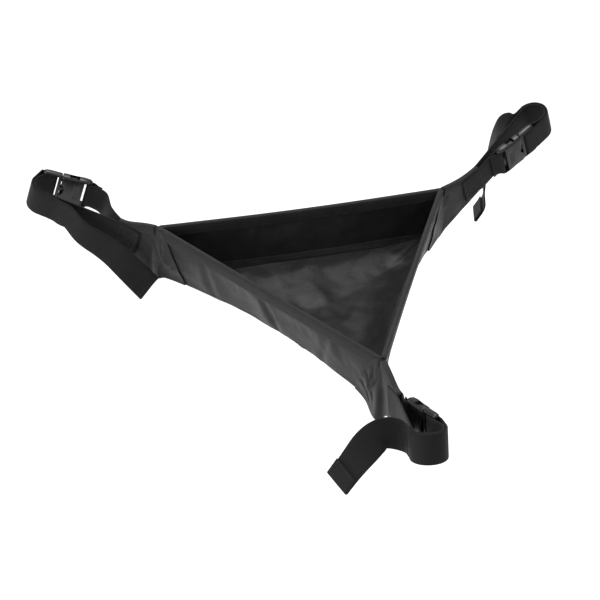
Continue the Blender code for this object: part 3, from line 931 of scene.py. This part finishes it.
# How far the cloth rolls out round the corner seam on each face of an arm, its left (+1) or its
# right (-1)
ROLLS = {
    ("front", -1): 6.0 * MM,
    ("left", 1): 2.2 * MM,
    ("right", 1): 2.2 * MM,
}
LEAST_ROLL = 1.2 * MM
FULL_ROLL = 6 * MM  # the roll that has the whole drop and the deepest creases
ROLL_DROP = 4.5 * MM
FACE_Y = 0.62 * MM
ARM_CLOTH = 1.0 * MM
LAP_AT_RIM = 8 * MM  # how far the arm's cloth reaches along a wall
LAP_AT_FOOT = 33 * MM
ARM_ROWS, LAP_STEPS, ARM_STEPS = 20, 12, 18
# Creases over a rolled corner: two ends of each, as x and z in the corner frame
ROLL_CREASES = (
    ((-17 * MM, -30 * MM), (1 * MM, -56 * MM)),
    ((3 * MM, -24 * MM), (-13 * MM, -58 * MM)),
    ((-22 * MM, -44 * MM), (-6 * MM, -60 * MM)),
    ((-7 * MM, -20 * MM), (-9 * MM, -50 * MM)),
)
CREASE_DEPTH = 1.5 * MM
CREASE_WIDTH = 1.5 * MM
ROLL_START, ROLL_GROWTH = 0.1, 0.55  # shares of the way down: where a roll starts, and how long it grows
LAP_STAND = 0.75 * MM
SLANT_FOLDS = (4.2 * MM, 0.8, 0.9 * MM)  # folds across an arm: their pitch, their slant and their depth
PUCKER = (110, 0.25 * MM)  # fine unevenness of an arm's cloth: its features per metre and its depth


def rolled_plan(size, face):
    """Plan points of the cloth rolled round the seam: out over the wall, back under itself to the
    arm. size is the roll, in millimetres."""
    shape = ((-5.2 + 0.35 * size, 3.0 + 0.6 * size), (0.5 * size, 0.6 + 0.93 * size),
             (0.95 * size, 0.6 + 0.78 * size), (size, 0.6 + 0.42 * size),
             (0.8 * size + 1.2, 0.6 + 0.1 * size))
    return [in_plane((x, face * y)) for x, y in shape]


def crease_depth(place):
    """How deep the creases of a rolled corner are at a place in the corner frame."""
    deepest = 0.0
    for start, end in ROLL_CREASES:
        line = Vector(end) - Vector(start)
        to_place = place.xz - Vector(start)
        share = to_place.dot(line) / line.length_squared
        if 0 < share < 1:
            off = (to_place - line * share).length
            deepest = max(deepest, math.sin(math.pi * share) * math.exp(-((off / CREASE_WIDTH) ** 2)))
    return deepest


def wall_place(k, number, distance, share):
    """The shell's outer face on wall k, at a distance from a corner's seam and a share of the way
    down."""
    column = distance / SIDE_LENGTH * WALL_SEGMENTS
    if k != number:
        column = WALL_SEGMENTS - column
    drops = wall_drops()
    row = float(np.interp(share * WALL_HEIGHT, drops, range(len(drops))))
    r, c = min(int(row), len(drops) - 2), min(int(column), WALL_SEGMENTS - 1)
    rows = WALL_IDS[k][r : r + 2]
    upper, lower = (PLACES[ids[c]].lerp(PLACES[ids[c + 1]], column - c) for ids in rows)
    return upper.lerp(lower, row - r)


def lapped_wall(corner, face):
    """The wall that one face of an arm laps onto."""
    return (corner.number + (2 if face < 0 else 0)) % 3


def arm_row(corner, face, size, share):
    """A row of the arm's cloth, this share of the way down: along its wall, round the rolled seam
    and out to the tip."""
    k = lapped_wall(corner, face)
    out = wall_normal(k)
    reach = LAP_AT_RIM + (LAP_AT_FOOT - LAP_AT_RIM) * share**0.75
    roll = size * ease(clamp((share - ROLL_START) / ROLL_GROWTH))
    near_seam = 5 * MM + 1.6 * roll
    row = []
    for c in range(LAP_STEPS + 1):
        distance = reach + (near_seam - reach) * c / LAP_STEPS
        stand = LAP_STAND + 0.45 * roll * (c / LAP_STEPS) ** 2
        row.append(wall_place(k, corner.number, distance, share) + out * stand)
    level = RIM_HEIGHT - WALL_HEIGHT * share - ROLL_DROP * roll / FULL_ROLL * share**3
    row += [corner.frame @ (point + UP * level) for point in rolled_plan(roll / MM, face)]
    pitch, slant, depth = SLANT_FOLDS
    for c in range(ARM_STEPS + 1):
        along = c / ARM_STEPS
        point = corner.top_edge(along).lerp(corner.bottom_edge(along), share)
        if point.x >= 1.7 * roll + 3.5 * MM:
            folds = depth * math.sin((point.x + slant * point.z) / pitch + face)
            folds *= math.sin(math.pi * share) * (1 - along)
            stand = FACE_Y + max(0.0, folds + 0.4 * MM)
            row.append(corner.frame @ (point + Vector((0, face * stand, 0))))
    return resampled(eased(resampled(row, 0.9 * MM), 3), 1.3 * MM)


def build_arm_cloth(corner, face):
    """One face of the arm's doubled cloth, from its curved lap on a wall round to the arm's tip.
    face is +1 on the corner's left."""
    size = ROLLS.get((corner.name, face), LEAST_ROLL)
    rows = [arm_row(corner, face, size, r / ARM_ROWS) for r in range(ARM_ROWS + 1)]
    width = max(len(row) for row in rows)
    rows = [even(row, width) for row in rows]
    cloth = sheet_mesh(f"arm_cloth_{corner.name}_{'left' if face > 0 else 'right'}", rows, "bag_cloth")
    settle(subdivided(cloth))
    to_frame = corner.frame.inverted()
    for vertex in cloth.data.vertices:
        normal = vertex.normal if (to_frame.to_3x3() @ vertex.normal).y * face > 0 else -vertex.normal
        pucker = noise.noise(vertex.co * PUCKER[0]) * PUCKER[1]
        creased = crease_depth(to_frame @ vertex.co) * CREASE_DEPTH * size / FULL_ROLL
        vertex.co += normal * (pucker - creased)
    settle(thickened(cloth, ARM_CLOTH))
    corner.bend(cloth, "bag_cloth")
    return cloth, rows


def arm_tape_stations(corner):
    """Stations along the arm's upper edge."""
    steps, ahead = 26, 0.02
    turn, side = corner.frame.to_3x3(), Vector((0, 1, 0))
    stations = []
    for share in (step / steps for step in range(steps + 1)):
        forward = corner.top_edge(min(1, share + ahead)) - corner.top_edge(max(0, share - ahead))
        lift = forward.normalized().cross(side)
        lift = -lift if lift.z < 0 else lift
        stations.append((corner.frame @ corner.top_edge(share), turn @ side, turn @ lift))
    return stations


def build_arm(corner):
    """Both faces of the arm, the binding along its upper edge, and their stitching."""
    name = corner.name
    left_cloth, left_rows = build_arm_cloth(corner, 1)
    right_cloth, right_rows = build_arm_cloth(corner, -1)
    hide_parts(f"arm_{name}", f"arm_lap_{name}_a")
    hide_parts(f"arm_lap_{name}_b")
    stations = arm_tape_stations(corner)
    half, top, low = 2.3 * MM, 0.9 * MM, -8 * MM
    tape = sweep(f"arm_tape_{name}", stations, folded_profile(half, top, low, -3 * MM), "binding_tape")
    corner.bend(tape, "binding_tape")
    runs = both_faces(stations[2:], half, low + 2 * MM)
    for face, rows in ((1, left_rows), (-1, right_rows)):
        out = wall_normal(lapped_wall(corner, face))
        runs.append([(row[2] + out * 0.5 * MM, out) for row in rows])
    for face in (1, -1):
        stand = Vector((0, face * 1.25 * MM, 2.5 * MM))
        edge = [corner.frame @ (corner.bottom_edge(share) + stand) for share in (0.15, 0.5, 0.75, 0.97)]
        normal = corner.frame.to_3x3() @ Vector((0, face, 0))
        runs.append([(point, normal) for point in edge])
    sewn = stitched(f"arm_stitches_{name}", runs)
    corner.bend(sewn, "bag_cloth")
    return [left_cloth, right_cloth, tape, sewn]


# ---- straps

STRAP_SPACING = 1.5 * MM  # between the sections of a long strap
LYING = 1.9 * MM  # how far apart two layers of webbing lie
TAIL_SPACING = 1.6 * MM
HEM_TURN = 0.95 * MM  # the radius of the fold at the end of a loose end


def ribbon_stations(points, across):
    """Stations for a strap. across gives its width direction at each point."""
    stations = []
    for i, point in enumerate(points):
        forward = (points[min(i + 1, len(points) - 1)] - points[max(i - 1, 0)]).normalized()
        wide = (across[i] - across[i].dot(forward) * forward).normalized()
        stations.append((point, wide, wide.cross(forward)))
    return stations


def strap(name, points, across):
    return sweep(name, ribbon_stations(points, across), flat_profile(WEB_WIDTH, WEB_THICK), "webbing")


def strap_in_plan(corner, name, path):
    """A strap along a path in the corner's plan."""
    return strap(f"{name}_{corner.name}", [corner.plan @ p for p in path], [corner.across] * len(path))


def arm_face(corner, towards):
    """Where the webbing starts and where the arm ends. towards is +1 on the buckle's side."""
    y = towards * corner.side * SEWN_OFFSET
    return Vector((corner.tip - SEWN_LENGTH, y, 0)), Vector((corner.tip, y, 0))


def round_bar(corner, place, ahead):
    """Half a turn round one of the buckle's bars, by its far side (+1) or its near side (-1)."""
    turn = corner.in_plan.to_3x3()
    bar = corner.in_plan @ Vector((place, 0, 0))
    start, middle = Vector((0, -corner.side * BAR_TURN, 0)), Vector((ahead * BAR_TURN, 0, 0))
    return half_turn(bar, turn @ start, turn @ middle, 14)


def returning(outgoing, outer):
    """The end of a strap that has gone round a bar, lying back on its outgoing part."""
    back = []
    for i in range(2, 12):
        step = outgoing[-i] - outgoing[-i - 1]
        off = Vector((-step.y, step.x, 0)).normalized()
        off = off if off.dot(outer) > 0 else -off
        back.append(outgoing[-i] + off * (2 * BAR_TURN + (LYING - 2 * BAR_TURN) * ease(min(1, i / 8))))
    return back


def build_short_strap(corner):
    """From the arm's tip, round the socket's bar and back on itself."""
    start, tip = arm_face(corner, 1)
    slack = [in_plane(pair) for pair in corner.facts["slack"]]
    at_bar = [corner.in_plan @ Vector((x, -corner.side * BAR_TURN, 0)) for x in (-4 * MM, BAR / 2)]
    free = smooth_through([start, start.lerp(tip, 0.8), tip, *slack, *at_bar], 10)
    outer = corner.in_plan.to_3x3() @ Vector((0, corner.side, 0))
    path = [*free[:-1], *round_bar(corner, BAR / 2, 1), *returning(resampled(free, 1 * MM), outer)]
    made = strap_in_plan(corner, "buckle_strap", resampled(path, 1.1 * MM))
    attach(made, f"arm_{corner.name}", "webbing", f"short_strap_{corner.name}")


def leg_tangent(centre, radius, point, sense):
    """The angle at which a strap from this point meets the leg's circle."""
    to_point = point - centre
    return math.atan2(to_point.y, to_point.x) + sense * math.acos(radius / to_point.length)


def round_leg(centre, radius, first, last, sense, steps):
    """Points round the leg from the first angle to the last, by way of its far side."""
    whole = (sense * (last - first)) % (2 * math.pi) * sense
    turns = [first + whole * step / steps for step in range(steps + 1)]
    return [centre + radius * Vector((math.cos(t), math.sin(t), 0)) for t in turns]


def build_long_strap(corner):
    """From the arm's tip round the leg, round the ladder bar and round the leg again. Its tail
    begins where it lies beside itself."""
    side, name, buckle = corner.side, corner.name, corner.in_plan
    start, tip = arm_face(corner, -1)
    centre = in_plane(corner.facts["loop"])
    meets = leg_tangent(centre, LOOP_RADIUS, tip, side)
    beside = centre + LOOP_RADIUS * Vector((math.cos(meets), math.sin(meets), 0))
    split = tip.lerp(beside, (corner.facts["split"] * MM - tip.x) / (beside.x - tip.x))
    along = (beside - tip).normalized()
    out = Vector((along.y, -along.x, 0)) * side
    layers = []
    for radius, face in ((LOOP_RADIUS, -1), (LOOP_RADIUS + LAYER_STEP, 1)):
        y = face * side * BAR_TURN
        entry = buckle @ Vector((BUCKLE_LENGTH + (1.5 * MM if face > 0 else 0), y, 0))
        leaves = leg_tangent(centre, radius, entry, -side)
        layers.append([*round_leg(centre, radius, meets, leaves, side, 40), entry])
    straight = eased(resampled([start, tip, layers[0][0]], STRAP_SPACING), 8)
    first = [*straight[:-1], *resampled(layers[0], STRAP_SPACING)]
    second = resampled([*reversed(layers[1]), split + out * LAYER_STEP], STRAP_SPACING)
    made = strap_in_plan(corner, "leg_strap", [*first, *round_bar(corner, LADDER_BAR_X, -1), *second])
    close_end = (buckle @ Vector((PLUG_START - 3 * MM, 0, 0))).x
    ends = (corner.plan @ Vector((x, 0, 0)) for x in (corner.tip, close_end))
    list(ends)
    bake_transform(made)
    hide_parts(f"loop_strap_{name}", f"leg_wrap_{name}")

    before = split + along * 3 * MM + out * (LAYER_STEP + 0.3 * MM)
    tail_start = split - along * TAIL_GAP + out * (LAYER_STEP + 0.4 * MM)
    lead = tail_start - along * TAIL_LEAD + out * TAIL_STEP_OUT
    build_tail(corner, *(corner.plan @ p for p in (before, tail_start, lead)))


def tail_widths(corner, count):
    """The loose end's width direction at each of its points, as it twists."""
    last = corner.frame.to_3x3() @ Vector(corner.facts["tail_width"]).normalized()
    begin, end = corner.facts["twist"]
    shares = (clamp((i / (count - 1) - begin) / (end - begin)) for i in range(count))
    return [corner.across.lerp(last, ease(share)).normalized() for share in shares]


def build_tail(corner, before, start, lead):
    """The loose end, with its double-folded hem."""
    chosen = [before, start, lead, *[corner.frame @ (Vector(p) * MM) for p in corner.facts["tail"]]]
    points = eased(resampled(smooth_through(chosen, 12), TAIL_SPACING), 6)
    across = tail_widths(corner, len(points))
    stations = ribbon_stations(points, across)
    forward = (points[-1] - points[-2]).normalized()
    end, _, normal = stations[-1]
    fold = half_turn(end + normal * HEM_TURN, -normal * HEM_TURN, forward * HEM_TURN, 10)
    hem = stations[-2 : -2 - round(TAIL_HEM_LENGTH / TAIL_SPACING) : -1]
    folded = [*points[:-1], *fold, *[point + up * 2 * HEM_TURN for point, _, up in hem]]
    across += [across[-1]] * (len(fold) - 1)
    across += [wide for _, wide, _ in hem]
    made = strap(f"tail_{corner.name}", folded, across)
    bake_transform(made)
    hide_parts(f"strap_tail_{corner.name}")
    half = WEB_WIDTH / 2 - 2 * MM
    rows = []
    for point, wide, up in (hem[0], hem[-2]):
        for face, height in ((1, 2 * HEM_TURN + WEB_THICK / 2), (-1, -WEB_THICK / 2)):
            rows.append([(point + up * height + wide * w, up * face) for w in (-half, half)])
    attach(stitched(f"tail_stitches_{corner.name}", rows), f"tail_{corner.name}", "webbing")


def build_box_stitches(corner):
    """The crossed box that sews each end of the webbing to the arm."""
    runs = []
    for towards in (1, -1):
        start, tip = arm_face(corner, towards)
        face = towards * corner.side
        y = start.y + face * (WEB_THICK / 2 + 0.05 * MM)
        near, far, half = start.x + 2.5 * MM, tip.x - 3 * MM, WEB_WIDTH / 2 - 3 * MM
        box = [Vector((x, y, z)) for x, z in ((near, -half), (far, -half), (far, half), (near, half))]
        normal = corner.plan.to_3x3() @ Vector((0, face, 0))
        for a, b in ((0, 1), (1, 2), (2, 3), (3, 0), (0, 2), (1, 3)):
            runs.append([(corner.plan @ p, normal) for p in resampled([box[a], box[b]], 3 * MM)])
    attach(stitched(f"box_stitches_{corner.name}", runs), f"arm_{corner.name}", "webbing")


# ---- buckles

ALL_THROUGH = 6 * MM  # half the thickness of a cutter that goes right through a buckle
PAST = 3 * MM  # how far a cutter reaches past the end that it opens
BAR_LENGTH = SLOT_WIDTH + 1.6 * MM
MOUTH_NOTCH = (SOCKET_LENGTH + 3.5 * MM, 7 * MM)  # its middle and its radius
GRIP_GROOVES = (10.2, 11.9, 13.6)  # where the socket's grooves start, in millimetres
HEAD_GROOVES = (-13.4, -12.0, -10.6, -9.2)  # the same on a prong's head, from its root
# The mouldings' sections: the place along the buckle, half the width, half the thickness and the
# corner radius, in millimetres
SOCKET_SECTIONS = ((0, 13.6, 2.0, 1.6), (0.8, 14.6, 2.9, 2.2), (3, 15.4, 3.7, 2.6),
                   (8, 15.5, 4.2, 2.8), (12, 15.2, 4.25, 2.8), (16.5, 14.9, 4.25, 2.8),
                   (21, 15.1, 4.25, 2.8), (25, 15.2, 4.15, 2.8), (26.6, 15.0, 3.9, 2.6),
                   (27, 14.7, 3.6, 2.4))
PLUG_SECTIONS = ((27.5, 14.4, 3.0, 2.2), (28.2, 15.1, 3.3, 2.4), (33, 15.3, 3.3, 2.4),
                 (38, 15.5, 3.3, 2.4), (42, 15.4, 3.1, 2.4), (43.8, 14.9, 2.4, 2.0),
                 (44.5, 14.0, 1.8, 1.5))
TONGUE_SECTIONS = ((12.5, 1.6, 1.2, 1.0), (14, 2.0, 1.7, 1.2), (20, 2.4, 2.0, 1.3),
                   (28.6, 2.6, 2.1, 1.3))
# A prong's outline, from its root: along the buckle and out of it, in millimetres
PRONG_OUTLINE = ((0.8, -1.7), (-3.5, -1.5), (-7, -1.9), (-9.4, -3.2), (-12.5, -3.4), (-14.8, -2.6),
                 (-15.4, -0.6), (-15.1, 1.6), (-13.6, 3.0), (-11, 3.2), (-8.2, 3.0), (-6.9, 2.2),
                 (-6.4, 0.7), (-3.2, 1.1), (0.8, 1.6))
PRONG_HALF_THICK = 2.25 * MM


def rounded_ring(half_width, half_thick, radius, steps=4):
    """Points round a rectangle with rounded corners, as (across, thick) pairs."""
    ring = []
    for i, (a, b) in enumerate(((1, 1), (-1, 1), (-1, -1), (1, -1))):
        for turn in (math.pi / 2 * (i + step / steps) for step in range(steps + 1)):
            ring.append((a * (half_width - radius) + radius * math.cos(turn),
                         b * (half_thick - radius) + radius * math.sin(turn)))
    return ring


def loft(sections):
    """A closed solid along the buckle, through rounded sections."""
    bm = bmesh.new()
    rings = []
    for place, half_width, half_thick, radius in sections:
        ring = rounded_ring(half_width * MM, half_thick * MM, radius * MM)
        rings.append([bm.verts.new((place * MM, thick, across)) for across, thick in ring])
    for near, far in zip(rings, rings[1:]):
        for i in range(len(near)):
            bm.faces.new((near[i], near[i - 1], far[i - 1], far[i]))
    bm.faces.new(rings[0])
    bm.faces.new(rings[-1])
    bmesh.ops.recalc_face_normals(bm, faces=bm.faces)
    return bm


def block(*spans):
    """A box. Each span is its two ends along x, y or z, or half its size where it is centred."""
    ends = [span if isinstance(span, tuple) else (-span, span) for span in spans]
    size = [high - low for low, high in ends]
    middle = [(low + high) / 2 for low, high in ends]
    bm = bmesh.new()
    bmesh.ops.create_cube(bm, size=1, matrix=Matrix.Translation(middle) @ Matrix.Diagonal((*size, 1)))
    return bm


def cylinder(where, radius, length, segments):
    bm = bmesh.new()
    bmesh.ops.create_cone(bm, cap_ends=True, segments=segments, radius1=radius, radius2=radius,
                          depth=length, matrix=where)
    return bm


def rod(place, radius):
    """A round bar across the buckle."""
    return cylinder(Matrix.Translation((place, 0, 0)), radius, BAR_LENGTH, 24)


def moulded(name, body, cuts, joins, rounding):
    """A moulded piece: the body less its cuts, with its joins, and its edges rounded."""
    mesh = bpy.data.meshes.new(name)
    body.to_mesh(mesh)
    mesh.materials.append(LOOKS["buckle_plastic"])
    piece = linked(name, mesh)
    tools = []
    for operation, shapes in (("DIFFERENCE", cuts), ("UNION", joins)):
        for shape in shapes:
            tool = linked("tool", bpy.data.meshes.new("tool"))
            shape.to_mesh(tool.data)
            tool.hide_render = True
            step = piece.modifiers.new(operation.lower(), "BOOLEAN")
            step.operation = operation
            step.solver = "EXACT"
            step.object = tool
            tools.append(tool)
    edges = piece.modifiers.new("rounding", "BEVEL")
    edges.width = rounding
    edges.segments = 3
    edges.limit_method = "ANGLE"
    edges.angle_limit = math.radians(38)
    settle(piece)
    for tool in tools:
        bpy.data.objects.remove(tool)
    piece.data.shade_smooth()
    piece.data.set_sharp_from_angle(angle=math.radians(50))
    return piece


def socket_shape():
    """The sleeve, with an open bar frame, a cavity, a window in each edge and a notched mouth."""
    cavity = CAVITY_THICK / 2
    notch, radius = MOUTH_NOTCH
    through = Matrix.Translation((notch, 0, 0)) @ Matrix.Rotation(math.radians(90), 4, "X")
    cuts = [
        block((-PAST, SOCKET_SLOT_END), ALL_THROUGH, SLOT_WIDTH / 2),
        block((CAVITY_START, SOCKET_LENGTH + PAST), cavity, CAVITY_WIDTH / 2),
        block(WINDOW, cavity, BUCKLE_WIDTH / 2 + PAST),
        cylinder(through, radius, 20 * MM, 40),
    ]
    for depths in ((3.9 * MM, 5 * MM), (-5 * MM, -4 * MM)):
        cuts += [block((x * MM, (x + 0.7) * MM), depths, 6 * MM) for x in GRIP_GROOVES]
    return loft(SOCKET_SECTIONS), cuts, [rod(BAR / 2, BAR / 2)]


def plug_shape():
    """The ladder lock and the tongue that guides it into the socket."""
    cuts = [block((LADDER_START, BUCKLE_LENGTH + PAST), ALL_THROUGH, SLOT_WIDTH / 2)]
    joins = [rod(LADDER_BAR_X, BAR / 2), rod(END_BAR_X, 1.45 * MM), loft(TONGUE_SECTIONS)]
    return loft(PLUG_SECTIONS), cuts, joins


def prong_shape(edge):
    """A sprung prong with a ribbed head that shows in the socket's window, at an edge of the
    buckle: +1 or -1."""
    x, z = PRONG_ROOT
    curve = smooth_through([Vector((a * MM, 0, b * MM * edge)) for a, b in PRONG_OUTLINE], 4)
    bm = bmesh.new()
    back = Vector((x, -PRONG_HALF_THICK, edge * z))
    face = bm.faces.new([bm.verts.new(p + back) for p in curve])
    moved = bmesh.ops.extrude_face_region(bm, geom=[face])["geom"]
    verts = [item for item in moved if isinstance(item, bmesh.types.BMVert)]
    bmesh.ops.translate(bm, verts=verts, vec=(0, 2 * PRONG_HALF_THICK, 0))
    bmesh.ops.recalc_face_normals(bm, faces=bm.faces)
    depths = tuple(sorted((edge * (z + 2.75 * MM), edge * (z + 5 * MM))))
    cuts = [block((x + a * MM, x + (a + 0.6) * MM), 4 * MM, depths) for a in HEAD_GROOVES]
    return bm, cuts, []


def build_buckle(corner):
    name = corner.name
    pieces = (
        ("socket", socket_shape(), 0.35 * MM, f"arm_{name}", f"buckle_socket_{name}"),
        ("plug", plug_shape(), 0.35 * MM, f"plug_{name}", f"buckle_plug_{name}"),
        ("prong_upper", prong_shape(1), 0.4 * MM, f"prong_{name}_upper", f"prong_{name}_upper"),
        ("prong_lower", prong_shape(-1), 0.4 * MM, f"prong_{name}_lower", f"prong_{name}_lower"),
    )
    for label, (body, cuts, joins), rounding, rides, stands_for in pieces:
        piece = moulded(f"{label}_shell_{name}", body, cuts, joins, rounding)
        piece.matrix_world = corner.plan @ corner.in_plan
        attach(piece, rides, "buckle_plastic", stands_for)


for corner_number in range(3):
    this_corner = Corner(corner_number)
    build_arm(this_corner)
    build_short_strap(this_corner)
    build_long_strap(this_corner)
    build_box_stitches(this_corner)
    build_buckle(this_corner)


# ---- floor, light and camera

FLOOR_HEIGHT = -0.42
FLOOR_HALF = 8.0
LIT_PLACE = Vector((0, 0, -0.03))
# Each light's place, its width and its power in watts
LIGHTS = {
    "key": ((-2.1, -0.75, 0.75), 0.9, 30),
    "top": ((0.1, 0.8, 2.3), 1.6, 62),
    "front": ((0.7, -1.7, 1.3), 1.0, 8),
}
SKY = 0.5
# The camera's place and the directions of its right and its top, as the photo was taken
CAMERA_PLACE = (-0.3929, -1.1785, 0.8342)
CAMERA_RIGHT = Vector((0.9598, -0.27918, 0.0291))
CAMERA_UP = Vector((0.14099, 0.56914, 0.81007))
CAMERA_LENS = 105.18


def build_floor():
    mesh = bpy.data.meshes.new("floor")
    signs = ((-1, -1), (1, -1), (1, 1), (-1, 1))
    corners = [(FLOOR_HALF * a, FLOOR_HALF * b, FLOOR_HEIGHT) for a, b in signs]
    mesh.from_pydata(corners, [], [(0, 1, 2, 3)])
    mesh.materials.append(floor_material())
    linked("floor", mesh)


def build_light():
    world = bpy.data.worlds.new("studio")
    bpy.context.scene.world = world
    world.use_nodes = True
    sky = world.node_tree.nodes["Background"].inputs
    sky["Color"].default_value = (1, 1, 1, 1)
    sky["Strength"].default_value = SKY
    for name, (place, size, power) in LIGHTS.items():
        data = bpy.data.lights.new(name, "AREA")
        data.shape = "DISK"
        data.size = size
        data.energy = power
        made = linked(name, data)
        made.location = place
        made.rotation_euler = (LIT_PLACE - Vector(place)).to_track_quat("-Z", "Y").to_euler()
    bpy.context.scene.view_settings.view_transform = "Standard"


def build_camera():
    data = bpy.data.cameras.new("camera")
    data.lens = CAMERA_LENS
    data.sensor_width = 36
    data.clip_start = 0.01
    made = linked("camera", data)
    turn = Matrix((CAMERA_RIGHT, CAMERA_UP, CAMERA_RIGHT.cross(CAMERA_UP))).transposed().to_4x4()
    made.matrix_world = Matrix.Translation(CAMERA_PLACE) @ turn
    bpy.context.scene.camera = made


build_floor()
build_light()
build_camera()
